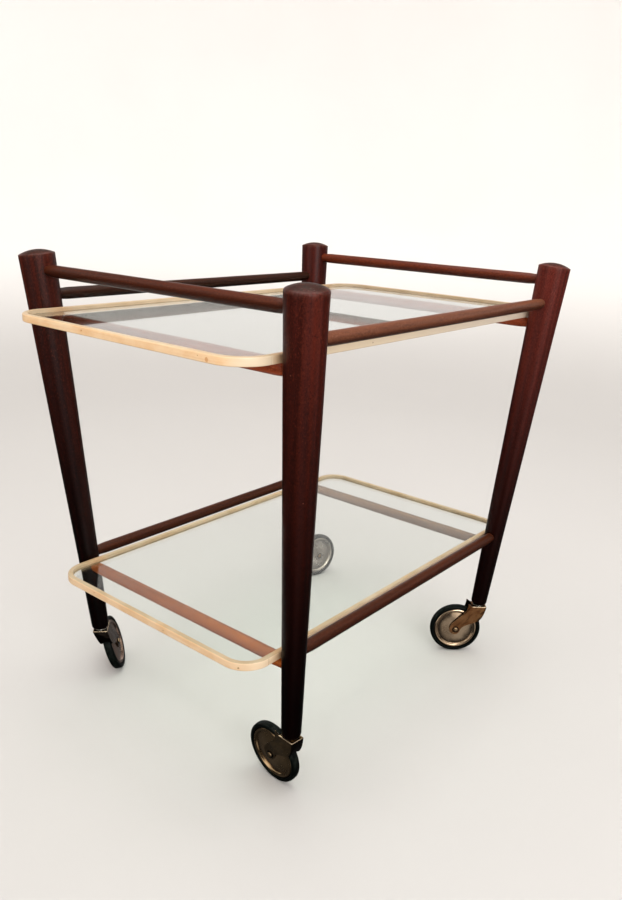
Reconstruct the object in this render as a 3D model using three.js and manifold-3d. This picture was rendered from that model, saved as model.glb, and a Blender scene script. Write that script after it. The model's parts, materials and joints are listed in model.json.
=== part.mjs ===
// Bar cart on four swivel casters.
// Four leaning, tapered, turned legs are joined by ten round dowel rails. Two
// glass shelves with a plastic edge strip lie on the support dowels.
// Millimetres, +Z up, origin on the floor under the middle of the cart.
// X runs along the cart, Y across it.
import * as THREE from 'three';
import { mergeVertices } from 'three/addons/utils/BufferGeometryUtils.js';
import Module from 'manifold-3d';

// ---------------------------------------------------------------- dimensions
// legs: the axis of each leg is at x = +-(LEG_X0 + LEG_XS z), y = +-(LEG_Y0 + LEG_YS z)
const LEG_X0 = 229.3, LEG_XS = 0.0875;
const LEG_Y0 = 185.2, LEG_YS = 0.0699;
const LEG_FOOT_Z = 88.4;             // height of the middle of the foot
const LEG_SHOULDER_Z = 637.0;        // edge of the domed top
const LEG_DOME = 6.0;                // height of the dome
const LEG_R_FOOT = 12.5, LEG_R_TOP = 23.3;
const LEG_SEG = 24;

// dowel rails
const RAIL_R = 8.0, TENON_R = 7.3, TENON_FIT = 0.3;
const RAIL_TAPER = 16;               // length over which the rail narrows to its tenon
const HANDLE_Z = 617.4;
const TOP_SIDE_Z = 584.5;
const LOW_SIDE_Z = 209.6;
const REST_GAP = 0.25;               // gap between a shelf and the dowel below it
const RAIL_SEG = 16;

// shelves: half length, half width, corner radius, height of the strip's top face
const SHELF = {
  top: { a: 345.8, b: 202.1, r: 41.0, z: 570.8 },
  bottom: { a: 310.0, b: 183.3, r: 35.0, z: 208.5 },
};
const STRIP_H = 10.0, STRIP_W = 6.9, STRIP_WALL = 1.9, STRIP_ROUND = 0.7;
const GLASS_T = 4.0, GLASS_DROP = 5.0;  // glass top below the strip's top face
const SLOT_GAP = 0.15;
const BUTT_GAP = 0.4;                // where the strip's two ends meet

// casters
const WHEEL_R = 41.5, WHEEL_TRAIL = 35.0;
const TYRE_W = 12.0, TREAD_W = 5.6, RIM_R = 35.8;
const FORK_TOP_Z = 86.0, FORK_T = 1.5, FORK_W = 21.0;
const FORK_PINCH = 0.055;            // each arm slopes inwards by this much per mm of drop
const AXLE_R = 2.8;
const WHEEL_SEG = 26, SMALL_SEG = 14;
const HEADING = {                    // rest direction of each wheel's trail, degrees from +X
  front_left: 84.9, front_right: 129.9, back_left: 47, back_right: 348.6,
};
const CAMBER = {                     // lean of each worn fork and wheel, degrees
  front_left: -8.1, front_right: -0.8, back_left: -16.7, back_right: -3.2,
};

const CORNERS = {
  front_left: [-1, -1], front_right: [1, -1], back_left: [-1, 1], back_right: [1, 1],
};

// ----------------------------------------------------------------- materials
const mat = (hex, roughness, metalness, extra = {}) =>
  new THREE.MeshStandardMaterial({ color: hex, roughness, metalness, ...extra });
const WOOD = mat(0x4a1c12, 0.42, 0.0);
const WOOD_RAIL = mat(0x5a2416, 0.42, 0.0);
const GLASS = mat(0xcfd8d2, 0.05, 0.0, { transparent: true, opacity: 0.35 });
const STRIP = mat(0xe6cf96, 0.4, 0.0);
const BRASS = mat(0x8a6a45, 0.35, 0.9);
const STEEL = mat(0x77736c, 0.4, 0.9);
const RUBBER = mat(0x141414, 0.8, 0.0);

// ------------------------------------------------------------------- helpers
const wasm = await Module();
wasm.setup();

function toManifold(geometry) {
  let g = geometry.clone();
  g.deleteAttribute('normal');
  if (g.hasAttribute('uv')) g.deleteAttribute('uv');
  g = mergeVertices(g, 1e-4);
  const idx = [];
  const src = g.index.array;
  for (let i = 0; i < src.length; i += 3) {
    if (src[i] !== src[i + 1] && src[i + 1] !== src[i + 2] && src[i] !== src[i + 2]) {
      idx.push(src[i], src[i + 1], src[i + 2]);
    }
  }
  return new wasm.Manifold(new wasm.Mesh({
    numProp: 3,
    vertProperties: new Float32Array(g.attributes.position.array),
    triVerts: new Uint32Array(idx),
  }));
}

function fromManifold(m) {
  const mesh = m.getMesh();
  const g = new THREE.BufferGeometry();
  const n = mesh.vertProperties.length / mesh.numProp;
  const pos = new Float32Array(n * 3);
  for (let i = 0; i < n; i++) {
    for (let k = 0; k < 3; k++) pos[3 * i + k] = mesh.vertProperties[i * mesh.numProp + k];
  }
  g.setAttribute('position', new THREE.BufferAttribute(pos, 3));
  g.setIndex(new THREE.BufferAttribute(new Uint32Array(mesh.triVerts), 1));
  g.computeVertexNormals();
  return g;
}

function cut(base, ...tools) {
  let m = toManifold(base);
  for (const t of tools) m = m.subtract(toManifold(t));
  return fromManifold(m);
}

// turned solid about Z from [radius, z] points
function turned(points, segments) {
  const g = new THREE.LatheGeometry(points.map(([r, z]) => new THREE.Vector2(r, z)), segments);
  g.rotateX(Math.PI / 2);
  return g;
}

// cylinder about `axis` ('x', 'y' or 'z') centred on c
function rod(radius, length, segments, axis, c) {
  const g = new THREE.CylinderGeometry(radius, radius, length, segments);
  if (axis === 'x') g.rotateZ(-Math.PI / 2);
  if (axis === 'z') g.rotateX(Math.PI / 2);
  g.translate(c[0], c[1], c[2]);
  return g;
}

function roundedRect(a, b, r) {
  const s = new THREE.Shape();
  s.moveTo(-a + r, -b);
  s.lineTo(a - r, -b);
  s.absarc(a - r, -b + r, r, -Math.PI / 2, 0, false);
  s.lineTo(a, b - r);
  s.absarc(a - r, b - r, r, 0, Math.PI / 2, false);
  s.lineTo(-a + r, b);
  s.absarc(-a + r, b - r, r, Math.PI / 2, Math.PI, false);
  s.lineTo(-a, -b + r);
  s.absarc(-a + r, -b + r, r, Math.PI, 1.5 * Math.PI, false);
  return s;
}

function slab(a, b, r, z0, z1, seg = 7) {
  const g = new THREE.ExtrudeGeometry(roundedRect(a, b, r), {
    depth: z1 - z0, bevelEnabled: false, curveSegments: seg,
  });
  g.translate(0, 0, z0);
  return g;
}

function add(group, name, geometry, material) {
  const m = new THREE.Mesh(geometry, material);
  m.name = name;
  group.add(m);
  return m;
}

const legX = (z) => LEG_X0 + LEG_XS * z;
const legY = (z) => LEG_Y0 + LEG_YS * z;
const legR = (z) => LEG_R_FOOT + (LEG_R_TOP - LEG_R_FOOT) * (z - LEG_FOOT_Z) / (LEG_SHOULDER_Z - LEG_FOOT_Z);

const SUPPORT_Z = {
  top: SHELF.top.z - STRIP_H - REST_GAP - RAIL_R,
  bottom: SHELF.bottom.z - STRIP_H - REST_GAP - RAIL_R,
};

const cart = new THREE.Group();
cart.name = 'bar_cart';

// --------------------------------------------------------------------- rails
// Each rail runs along 'x' or 'y' between two legs at height z.
const RAILS = [];
for (const [side, s] of [['left', -1], ['right', 1]]) {
  RAILS.push({ name: `handle_rail_${side}`, axis: 'y', s, z: HANDLE_Z });
  RAILS.push({ name: `top_shelf_support_${side}`, axis: 'y', s, z: SUPPORT_Z.top });
  RAILS.push({ name: `bottom_shelf_support_${side}`, axis: 'y', s, z: SUPPORT_Z.bottom });
}
for (const [side, s] of [['front', -1], ['back', 1]]) {
  RAILS.push({ name: `top_side_rail_${side}`, axis: 'x', s, z: TOP_SIDE_Z });
  RAILS.push({ name: `bottom_side_rail_${side}`, axis: 'x', s, z: LOW_SIDE_Z });
}

// distance from the leg axis to which a tenon reaches, past the axis
const tenonReach = (z) => 0.25 * legR(z);

function railGeometry(half, z) {
  const r = legR(z);
  const shoulder = half - r - 0.4;           // the taper ends just outside the leg
  const end = half + tenonReach(z);
  const pts = [
    [0, -end], [TENON_R, -end], [TENON_R, -shoulder], [RAIL_R, -shoulder + RAIL_TAPER],
    [RAIL_R, shoulder - RAIL_TAPER], [TENON_R, shoulder], [TENON_R, end], [0, end],
  ];
  return turned(pts, RAIL_SEG);
}

for (const rail of RAILS) {
  const half = rail.axis === 'x' ? legX(rail.z) : legY(rail.z);
  const g = railGeometry(half, rail.z);
  const m = add(cart, rail.name, g, WOOD_RAIL);
  if (rail.axis === 'x') {
    m.rotation.set(0, Math.PI / 2, 0);
    m.position.set(0, rail.s * legY(rail.z), rail.z);
  } else {
    m.rotation.set(-Math.PI / 2, 0, 0);
    m.position.set(rail.s * legX(rail.z), 0, rail.z);
  }
}

// ---------------------------------------------------------------------- legs
const LEAN = Math.hypot(LEG_XS, LEG_YS, 1);  // length of the leg per unit of height
const SLEEVE_R = 5.2, SLEEVE_BORE = 4.2, SLEEVE_DEPTH = 38;

function legGeometry(sx, sy) {
  const len = (LEG_SHOULDER_Z - LEG_FOOT_Z) * LEAN;
  const profile = [
    [0, 0], [LEG_R_FOOT - 2.4, 0], [LEG_R_FOOT, 4.5],
    [LEG_R_TOP, len - 2.0], [LEG_R_TOP - 1.6, len + 0.5],
  ];
  for (let i = 1; i <= 3; i++) {
    const t = i / 3;
    profile.push([(LEG_R_TOP - 1.6) * Math.cos(t * Math.PI / 2), len + 0.5 + (LEG_DOME - 0.5) * Math.sin(t * Math.PI / 2)]);
  }
  profile[profile.length - 1][0] = 0;
  const body = turned(profile, LEG_SEG);

  // local frame of the leg: foot at the origin, local Z along the leaning axis
  const axis = new THREE.Vector3(sx * LEG_XS, sy * LEG_YS, 1).normalize();
  const q = new THREE.Quaternion().setFromUnitVectors(new THREE.Vector3(0, 0, 1), axis);
  const foot = new THREE.Vector3(sx * legX(LEG_FOOT_Z), sy * legY(LEG_FOOT_Z), LEG_FOOT_Z);
  const toLocal = new THREE.Matrix4().compose(foot, q, new THREE.Vector3(1, 1, 1)).invert();

  const tools = [];
  for (const rail of RAILS) {
    const meets = rail.axis === 'x' ? rail.s === sy : rail.s === sx;
    if (!meets) continue;
    const half = rail.axis === 'x' ? legX(rail.z) : legY(rail.z);
    const inner = half - legR(rail.z) - 6;
    const outer = half + tenonReach(rail.z) + TENON_FIT;
    const dir = rail.axis === 'x' ? sx : sy;
    const mid = dir * (inner + outer) / 2;
    const c = rail.axis === 'x'
      ? [mid, rail.s * legY(rail.z), rail.z]
      : [rail.s * legX(rail.z), mid, rail.z];
    tools.push(rod(TENON_R + TENON_FIT, outer - inner, RAIL_SEG, rail.axis, c));
  }
  // upright hole for the caster sleeve
  tools.push(rod(SLEEVE_R + 0.25, 2 * SLEEVE_DEPTH + 2, 20, 'z', [foot.x, foot.y, LEG_FOOT_Z]));
  for (const t of tools) t.applyMatrix4(toLocal);
  return { geometry: cut(body, ...tools), foot, q };
}

for (const [corner, [sx, sy]] of Object.entries(CORNERS)) {
  const { geometry, foot, q } = legGeometry(sx, sy);
  const m = add(cart, `leg_${corner}`, geometry, WOOD);
  m.position.copy(foot);
  m.quaternion.copy(q);
}

// ------------------------------------------------------------------- shelves
function stripGeometry({ a, b, r }) {
  // local z = 0 at the underside of the strip
  const round = new THREE.ExtrudeGeometry(roundedRect(a - STRIP_ROUND, b - STRIP_ROUND, r - STRIP_ROUND), {
    depth: STRIP_H - 2 * STRIP_ROUND, bevelEnabled: true, bevelSegments: 1,
    bevelSize: STRIP_ROUND, bevelThickness: STRIP_ROUND, curveSegments: 7,
  });
  round.translate(0, 0, STRIP_ROUND);
  const w = STRIP_W, t = STRIP_WALL;
  const slot0 = STRIP_H - GLASS_DROP - GLASS_T - SLOT_GAP;
  const opening = slab(a - w, b - w, r - w, -1, STRIP_H + 1);
  const slot = slab(a - t, b - t, r - t, slot0, slot0 + GLASS_T + 2 * SLOT_GAP);
  // butt joint just past the front left corner
  const joint = new THREE.BoxGeometry(BUTT_GAP, 2 * STRIP_W + 4, STRIP_H + 4);
  joint.translate(-a + r + 2, -b, STRIP_H / 2);
  return cut(round, opening, slot, joint);
}

for (const [name, s] of Object.entries(SHELF)) {
  const strip = add(cart, `${name}_shelf_edge_strip`, stripGeometry(s), STRIP);
  strip.position.set(0, 0, s.z - STRIP_H);
  const e = STRIP_WALL + 0.15;
  const pane = add(cart, `${name}_shelf_glass`, slab(s.a - e, s.b - e, s.r - e, 0, GLASS_T), GLASS);
  pane.position.set(0, 0, s.z - GLASS_DROP - GLASS_T);
}

// ------------------------------------------------------------------- casters
const ARM_Y = FORK_W / 2;                  // outer face of each fork arm at the plate
const INNER_Y = ARM_Y - FORK_T;
const v2 = (list) => list.map(([x, y]) => new THREE.Vector2(x, y));

// height of the wheel's centre, so that the leaning tyre just meets the floor
const axleZ = (camber) => WHEEL_R * Math.cos(camber) + (TREAD_W / 2) * Math.abs(Math.sin(camber));

// Side view of the fork, x along the trail, z up, as a closed outline: the top
// plate, the arms' raised front corners, the eye round the axle, the web behind.
function forkOutline() {
  const s = new THREE.Shape();
  s.moveTo(-12.3, FORK_TOP_Z - 1.5);
  s.lineTo(-11.0, FORK_TOP_Z);
  s.lineTo(11.0, FORK_TOP_Z);
  s.lineTo(13.6, FORK_TOP_Z + 1.2);
  s.lineTo(16.0, FORK_TOP_Z + 3.4);
  s.lineTo(18.0, FORK_TOP_Z + 3.8);
  s.splineThru(v2([
    [18.4, 83.6], [20.2, 77.4], [24.4, 70.8], [29.6, 65.4], [34.2, 60.4], [40.0, 54.4], [44.2, 48.4],
    [45.4, 41.6], [43.2, 35.6], [38.2, 32.2], [32.8, 32.6], [29.0, 36.6], [26.6, 42.8], [21.4, 48.2],
    [11.0, 52.8], [2.6, 56.6], [-3.0, 59.8], [-6.8, 65.4], [-9.4, 72.0], [-11.0, 78.4],
  ]));
  s.lineTo(-12.3, FORK_TOP_Z - 1.5);
  return s;
}

function alongY(shape, y0, y1, curveSegments) {
  const g = new THREE.ExtrudeGeometry(shape, { depth: y1 - y0, bevelEnabled: false, curveSegments });
  g.rotateX(Math.PI / 2);                  // shape y -> z, extrusion -> -y
  g.translate(0, y1, 0);
  return g;
}

function forkGeometry(camber) {
  const body = alongY(forkOutline(), -ARM_Y, ARM_Y, 2);
  // the hollow between the arms, open to the front, the back and below
  const top = FORK_TOP_Z - FORK_T;
  const hollow = new THREE.Shape(v2([
    [-10.7, top], [11.0, top], [11.0, 99], [60, 99], [60, -10], [-30, -10], [-30, 64.6], [-4.6, 64.6],
    [-5.4, 66.2], [-7.9, 72.4], [-9.5, 78.6],
  ]));
  const fork = cut(body, alongY(hollow, -INNER_Y, INNER_Y, 1));
  // pinch the arms towards the axle and lean them sideways
  const p = fork.attributes.position;
  for (let i = 0; i < p.count; i++) {
    const drop = FORK_TOP_Z - p.getZ(i);
    const y = p.getY(i) - Math.sign(p.getY(i)) * FORK_PINCH * drop;
    p.setY(i, y / Math.cos(camber) + Math.tan(camber) * drop);
  }
  const atAxle = (g) => {
    g.rotateX(camber);
    g.translate(WHEEL_TRAIL, Math.tan(camber) * (FORK_TOP_Z - axleZ(camber)), axleZ(camber));
    return g;
  };
  // room for the tyre to turn, the axle hole and the stem hole
  const turn = atAxle(rod(WHEEL_R + 1.2, TYRE_W + 1.2, 52, 'y', [0, 0, 0]));
  const pinHole = atAxle(rod(AXLE_R + 0.25, FORK_W + 8, 20, 'y', [0, 0, 0]));
  const stemHole = rod(STEM_R + 0.25, 6, 20, 'z', [0, 0, FORK_TOP_Z]);
  return cut(fork, turn, pinHole, stemHole);
}

const STEM_R = 3.9;

function casterGroup(corner, heading, camber) {
  const g = new THREE.Group();
  const n = (part) => `${part}_${corner}`;
  const wheelAt = (mesh) => {
    mesh.position.set(WHEEL_TRAIL, Math.tan(camber) * (FORK_TOP_Z - axleZ(camber)), axleZ(camber));
    mesh.rotation.set(camber - Math.PI / 2, 0, 0);
    return mesh;
  };
  const foot = LEG_FOOT_Z;

  // fixed in the leg
  const sleeveTop = foot + SLEEVE_DEPTH - 0.6;
  add(g, n('caster_sleeve'), turned([
    [SLEEVE_BORE, foot - 0.6], [SLEEVE_R, foot - 0.6], [SLEEVE_R, sleeveTop],
    [SLEEVE_BORE, sleeveTop], [SLEEVE_BORE, foot - 0.6],
  ], SMALL_SEG), STEEL);
  add(g, n('thrust_washer'), turned([
    [SLEEVE_BORE, FORK_TOP_Z + 0.3], [8.6, FORK_TOP_Z + 0.3], [9.2, FORK_TOP_Z + 1.2],
    [SLEEVE_BORE, FORK_TOP_Z + 1.2], [SLEEVE_BORE, FORK_TOP_Z + 0.3],
  ], SMALL_SEG), STEEL);

  // turns with the fork
  const under = FORK_TOP_Z - FORK_T;
  add(g, n('caster_stem'), turned([
    [0, under - 2.4], [4.2, under - 2.4], [5.8, under - 0.2], [STEM_R, under - 0.2],
    [STEM_R, sleeveTop - 2.5], [STEM_R - 1, sleeveTop - 1], [0, sleeveTop - 1],
  ], SMALL_SEG), STEEL);
  add(g, n('caster_fork'), forkGeometry(camber), BRASS);
  const h = ARM_Y - FORK_PINCH * (FORK_TOP_Z - WHEEL_R) + 0.35;  // outside the arms at the axle
  wheelAt(add(g, n('axle_pin'), turned([
    [0, -h - 2.3], [2.6, -h - 1.8], [5.6, -h - 0.8], [5.6, -h - 0.2],
    [AXLE_R, -h - 0.2], [AXLE_R, h + 0.2],
    [5.6, h + 0.2], [5.6, h + 0.8], [2.6, h + 1.8], [0, h + 2.3],
  ], SMALL_SEG), BRASS));

  // turns on the axle
  const hub = INNER_Y - FORK_PINCH * (FORK_TOP_Z - WHEEL_R) - 0.5;
  wheelAt(add(g, n('hub_bush'), turned([
    [AXLE_R + 0.3, -hub], [4.9, -hub], [4.9, hub], [AXLE_R + 0.3, hub], [AXLE_R + 0.3, -hub],
  ], SMALL_SEG), STEEL));
  const disc = (s) => {
    const outer = [[5.2, 6.2], [14, 5.7], [22, 4.8], [29.0, 3.3], [30.6, 4.9], [32.8, 5.7], [35.0, 4.7], [RIM_R, 3.0]];
    const inner = [[29.4, 3.0], [28.4, 2.3], [21.7, 3.8], [13.8, 4.7], [5.2, 5.2], [5.2, 6.2]];
    const pts = [...outer, ...inner].map(([r, y]) => [r, s * y]);
    if (s > 0) pts.reverse();
    return turned(pts, WHEEL_SEG);
  };
  wheelAt(add(g, n('wheel_disc_near'), disc(1), BRASS));
  wheelAt(add(g, n('wheel_disc_far'), disc(-1), BRASS));
  const w = TYRE_W / 2;
  wheelAt(add(g, n('tyre'), turned([
    [29.8, -2.7], [RIM_R + 0.3, -2.7], [RIM_R + 0.3, -w], [WHEEL_R - 2.4, -w], [WHEEL_R, -TREAD_W / 2],
    [WHEEL_R, TREAD_W / 2], [WHEEL_R - 2.4, w], [RIM_R + 0.3, w], [RIM_R + 0.3, 2.7], [29.8, 2.7], [29.8, -2.7],
  ], WHEEL_SEG), RUBBER));

  g.rotation.z = THREE.MathUtils.degToRad(heading);
  return g;
}

for (const [corner, [sx, sy]] of Object.entries(CORNERS)) {
  const g = casterGroup(corner, HEADING[corner], THREE.MathUtils.degToRad(CAMBER[corner]));
  g.position.set(sx * legX(LEG_FOOT_Z), sy * legY(LEG_FOOT_Z), 0);
  cart.add(g);
}

export default cart;
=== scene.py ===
"""Looks of the bar cart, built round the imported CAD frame. Metres, +Z up.

Geometry below is written in millimetres in the same frame as the CAD and is
scaled once, where a mesh is made.
"""
import json
import math

import bmesh
import bpy
from mathutils import Matrix, Vector, noise


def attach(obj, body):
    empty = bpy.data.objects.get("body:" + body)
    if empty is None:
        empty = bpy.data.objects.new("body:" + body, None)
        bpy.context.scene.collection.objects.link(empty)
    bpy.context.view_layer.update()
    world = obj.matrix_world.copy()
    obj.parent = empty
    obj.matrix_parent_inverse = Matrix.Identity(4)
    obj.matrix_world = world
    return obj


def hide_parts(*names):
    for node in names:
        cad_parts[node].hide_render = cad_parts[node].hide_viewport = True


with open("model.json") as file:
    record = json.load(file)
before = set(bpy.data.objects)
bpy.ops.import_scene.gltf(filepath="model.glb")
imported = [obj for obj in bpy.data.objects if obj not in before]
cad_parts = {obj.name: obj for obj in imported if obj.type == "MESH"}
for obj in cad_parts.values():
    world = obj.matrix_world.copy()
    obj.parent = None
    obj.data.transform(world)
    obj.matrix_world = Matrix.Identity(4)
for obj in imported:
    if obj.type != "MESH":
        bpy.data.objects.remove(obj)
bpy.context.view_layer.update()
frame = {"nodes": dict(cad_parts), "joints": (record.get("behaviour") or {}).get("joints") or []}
MM = 0.001

# --------------------------------------------------------------- dimensions
LEG_X0, LEG_XS, LEG_Y0, LEG_YS = 229.3, 0.0875, 185.2, 0.0699
FOOT_Z, SHOULDER_Z, DOME = 88.4, 637.0, 6.0
R_FOOT, R_TOP = 12.5, 23.3
RAIL_R, TENON_R, TAPER = 8.0, 7.3, 16.0
HANDLE_Z, TOP_SIDE_Z, LOW_SIDE_Z = 617.4, 584.5, 209.6
SHELF = {"top": (345.8, 202.1, 41.0, 570.8), "bottom": (310.0, 183.3, 35.0, 208.5)}
STRIP_H, STRIP_W, GLASS_T, GLASS_DROP = 10.0, 6.9, 4.0, 5.0
WHEEL_R, TRAIL, FORK_TOP = 41.5, 35.0, 86.0
ARM_Y, INNER_Y, PINCH, AXLE_R = 10.5, 9.0, 0.055, 2.8
CORNERS = {"front_left": (-1, -1), "front_right": (1, -1), "back_left": (-1, 1), "back_right": (1, 1)}
HEADING = {"front_left": 84.9, "front_right": 129.9, "back_left": 47.0, "back_right": 348.6}
CAMBER = {"front_left": -8.1, "front_right": -0.8, "back_left": -16.7, "back_right": -3.2}
LEAN = math.sqrt(LEG_XS**2 + LEG_YS**2 + 1)


def leg_x(z):
    return LEG_X0 + LEG_XS * z


def leg_y(z):
    return LEG_Y0 + LEG_YS * z


def leg_r(z):
    return R_FOOT + (R_TOP - R_FOOT) * (z - FOOT_Z) / (SHOULDER_Z - FOOT_Z)


# ------------------------------------------------------------ mesh helpers
def piece(name, verts, faces, material, body, replaced=(), matrix=None, sharp=38.0, closed=True):
    """A mesh object from millimetre vertices, riding on a CAD body."""
    me = bpy.data.meshes.new(name)
    me.from_pydata([(x * MM, y * MM, z * MM) for x, y, z in verts], [], faces)
    me.validate()
    return finish_piece(name, me, material, body, replaced, matrix, sharp, closed)


def finish_piece(name, me, material, body, replaced=(), matrix=None, sharp=38.0, closed=True):
    if closed:
        bm = bmesh.new()
        bm.from_mesh(me)
        bmesh.ops.recalc_face_normals(bm, faces=bm.faces)
        bm.to_mesh(me)
        bm.free()
    me.shade_smooth()
    me.set_sharp_from_angle(angle=math.radians(sharp))
    ob = bpy.data.objects.new(name, me)
    bpy.context.scene.collection.objects.link(ob)
    if matrix is not None:
        ob.matrix_world = matrix
    for m in material if isinstance(material, (list, tuple)) else [material]:
        me.materials.append(m)
    if body:
        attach(ob, body)
    if replaced:
        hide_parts(*replaced)
    return ob


def turned(profile, seg, ring=False, radius=None):
    """Vertices and faces of a solid of revolution about Z from [(r, z), ...].

    ring: the profile is a closed loop. radius: function (r, z, angle) -> r.
    """
    verts, rows = [], []
    for r, z in profile:
        if r <= 1e-9:
            rows.append([len(verts)])
            verts.append((0.0, 0.0, z))
            continue
        rows.append([len(verts) + k for k in range(seg)])
        for k in range(seg):
            a = 2 * math.pi * k / seg
            q = r if radius is None else radius(r, z, a)
            verts.append((q * math.cos(a), q * math.sin(a), z))
    faces = []
    pairs = list(zip(rows, rows[1:]))
    if ring:
        pairs.append((rows[-1], rows[0]))
    for lo, hi in pairs:
        for k in range(seg):
            n = (k + 1) % seg
            if len(lo) == 1 and len(hi) == 1:
                continue
            if len(lo) == 1:
                faces.append((lo[0], hi[n], hi[k]))
            elif len(hi) == 1:
                faces.append((lo[k], lo[n], hi[0]))
            else:
                faces.append((lo[k], lo[n], hi[n], hi[k]))
    return verts, faces


def arc(cx, cy, r, a0, a1, n):
    return [
        (cx + r * math.cos(math.radians(a0 + (a1 - a0) * k / n)), cy + r * math.sin(math.radians(a0 + (a1 - a0) * k / n)))
        for k in range(n + 1)
    ]


def spline(points, per):
    """Catmull-Rom line through the points."""
    out = []
    for i in range(len(points) - 1):
        p0, p1 = points[max(i - 1, 0)], points[i]
        p2, p3 = points[i + 1], points[min(i + 2, len(points) - 1)]
        for k in range(per):
            t = k / per
            out.append(tuple(
                0.5 * ((2 * b) + (c - a) * t + (2 * a - 5 * b + 4 * c - d) * t * t + (3 * b - a - 3 * c + d) * t**3)
                for a, b, c, d in zip(p0, p1, p2, p3)
            ))
    out.append(points[-1])
    return out


def frame_matrix(origin, x, y, z):
    return Matrix(((x[0], y[0], z[0], origin[0]), (x[1], y[1], z[1], origin[1]), (x[2], y[2], z[2], origin[2]), (0, 0, 0, 1)))


def temp_object(verts, faces):
    me = bpy.data.meshes.new("temp")
    me.from_pydata(verts, [], faces)
    ob = bpy.data.objects.new("temp", me)
    bpy.context.scene.collection.objects.link(ob)
    return ob


def subtract(ob, tools):
    """Boolean difference, applied. Removes the tools and returns a new mesh."""
    for t in tools:
        m = ob.modifiers.new("cut", "BOOLEAN")
        m.operation, m.solver, m.object = "DIFFERENCE", "EXACT", t
    bpy.context.view_layer.update()
    dg = bpy.context.evaluated_depsgraph_get()
    me = bpy.data.meshes.new_from_object(ob.evaluated_get(dg), depsgraph=dg)
    for t in tools:
        bpy.data.objects.remove(t)
    bpy.data.objects.remove(ob)
    return me


# -------------------------------------------------------- material helpers
def srgb(r, g, b):
    def f(c):
        c /= 255.0
        return c / 12.92 if c <= 0.04045 else ((c + 0.055) / 1.055) ** 2.4
    return (f(r), f(g), f(b), 1.0)


class Graph:
    """Small helper that builds one node material."""

    def __init__(self, name):
        self.mat = bpy.data.materials.new(name)
        self.mat.use_nodes = True
        self.nt = self.mat.node_tree
        self.nt.nodes.clear()
        self.out = self.nt.nodes.new("ShaderNodeOutputMaterial")
        self.coord = self.nt.nodes.new("ShaderNodeTexCoord").outputs["Object"]

    def put(self, socket, value):
        if isinstance(value, bpy.types.NodeSocket):
            self.nt.links.new(value, socket)
        else:
            socket.default_value = value

    def node(self, kind, inputs=None, **props):
        n = self.nt.nodes.new(kind)
        for k, v in props.items():
            setattr(n, k, v)
        for k, v in (inputs or {}).items():
            self.put(n.inputs[k], v)
        return n

    def mapped(self, scale=(1, 1, 1), location=(0, 0, 0), rotation=(0, 0, 0), vector=None):
        n = self.node("ShaderNodeMapping", {"Vector": vector or self.coord, "Location": location, "Rotation": rotation, "Scale": scale})
        return n.outputs["Vector"]

    def noise(self, vector, scale, detail=2.0, rough=0.5, distortion=0.0, out="Fac"):
        n = self.node("ShaderNodeTexNoise", {"Vector": vector, "Scale": scale, "Detail": detail, "Roughness": rough, "Distortion": distortion})
        return n.outputs[out]

    def math(self, op, a, b=0.0, clamp=False):
        n = self.node("ShaderNodeMath", operation=op, use_clamp=clamp)
        self.put(n.inputs[0], a)
        self.put(n.inputs[1], b)
        return n.outputs[0]

    def sum(self, *terms):
        """Weighted sum of sockets or numbers: (value, weight), ..."""
        total = None
        for value, weight in terms:
            n = self.node("ShaderNodeMath", operation="MULTIPLY_ADD")
            self.put(n.inputs[0], value)
            self.put(n.inputs[1], weight)
            self.put(n.inputs[2], 0.0 if total is None else total)
            total = n.outputs[0]
        return total

    def ramp(self, value, a, b, lo=0.0, hi=1.0, smooth=True):
        n = self.node(
            "ShaderNodeMapRange", {"Value": value, "From Min": a, "From Max": b, "To Min": lo, "To Max": hi},
            interpolation_type="SMOOTHSTEP" if smooth else "LINEAR", clamp=True,
        )
        return n.outputs[0]

    def mix(self, fac, a, b, mode="MIX"):
        n = self.node("ShaderNodeMix", data_type="RGBA", blend_type=mode, clamp_factor=True)
        self.put(n.inputs[0], fac)
        self.put(n.inputs[6], a)
        self.put(n.inputs[7], b)
        return n.outputs[2]

    def xyz(self, vector=None):
        n = self.node("ShaderNodeSeparateXYZ", {0: vector or self.coord})
        return n.outputs[0], n.outputs[1], n.outputs[2]

    def near(self, point, radius, soft, vector=None):
        """1 inside `radius` of a point, falling to 0 over `soft` beyond it."""
        n = self.node("ShaderNodeVectorMath", operation="DISTANCE")
        self.put(n.inputs[0], vector or self.coord)
        self.put(n.inputs[1], point)
        return self.ramp(n.outputs["Value"], radius, radius + soft, 1.0, 0.0)

    def bump(self, height, distance, strength=1.0, normal=None):
        n = self.node("ShaderNodeBump", {"Height": height, "Distance": distance, "Strength": strength})
        if normal is not None:
            self.put(n.inputs["Normal"], normal)
        return n.outputs["Normal"]

    def principled(self, **inputs):
        n = self.node("ShaderNodeBsdfPrincipled", {k.replace("_", " "): v for k, v in inputs.items()})
        self.nt.links.new(n.outputs[0], self.out.inputs["Surface"])
        return n


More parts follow.
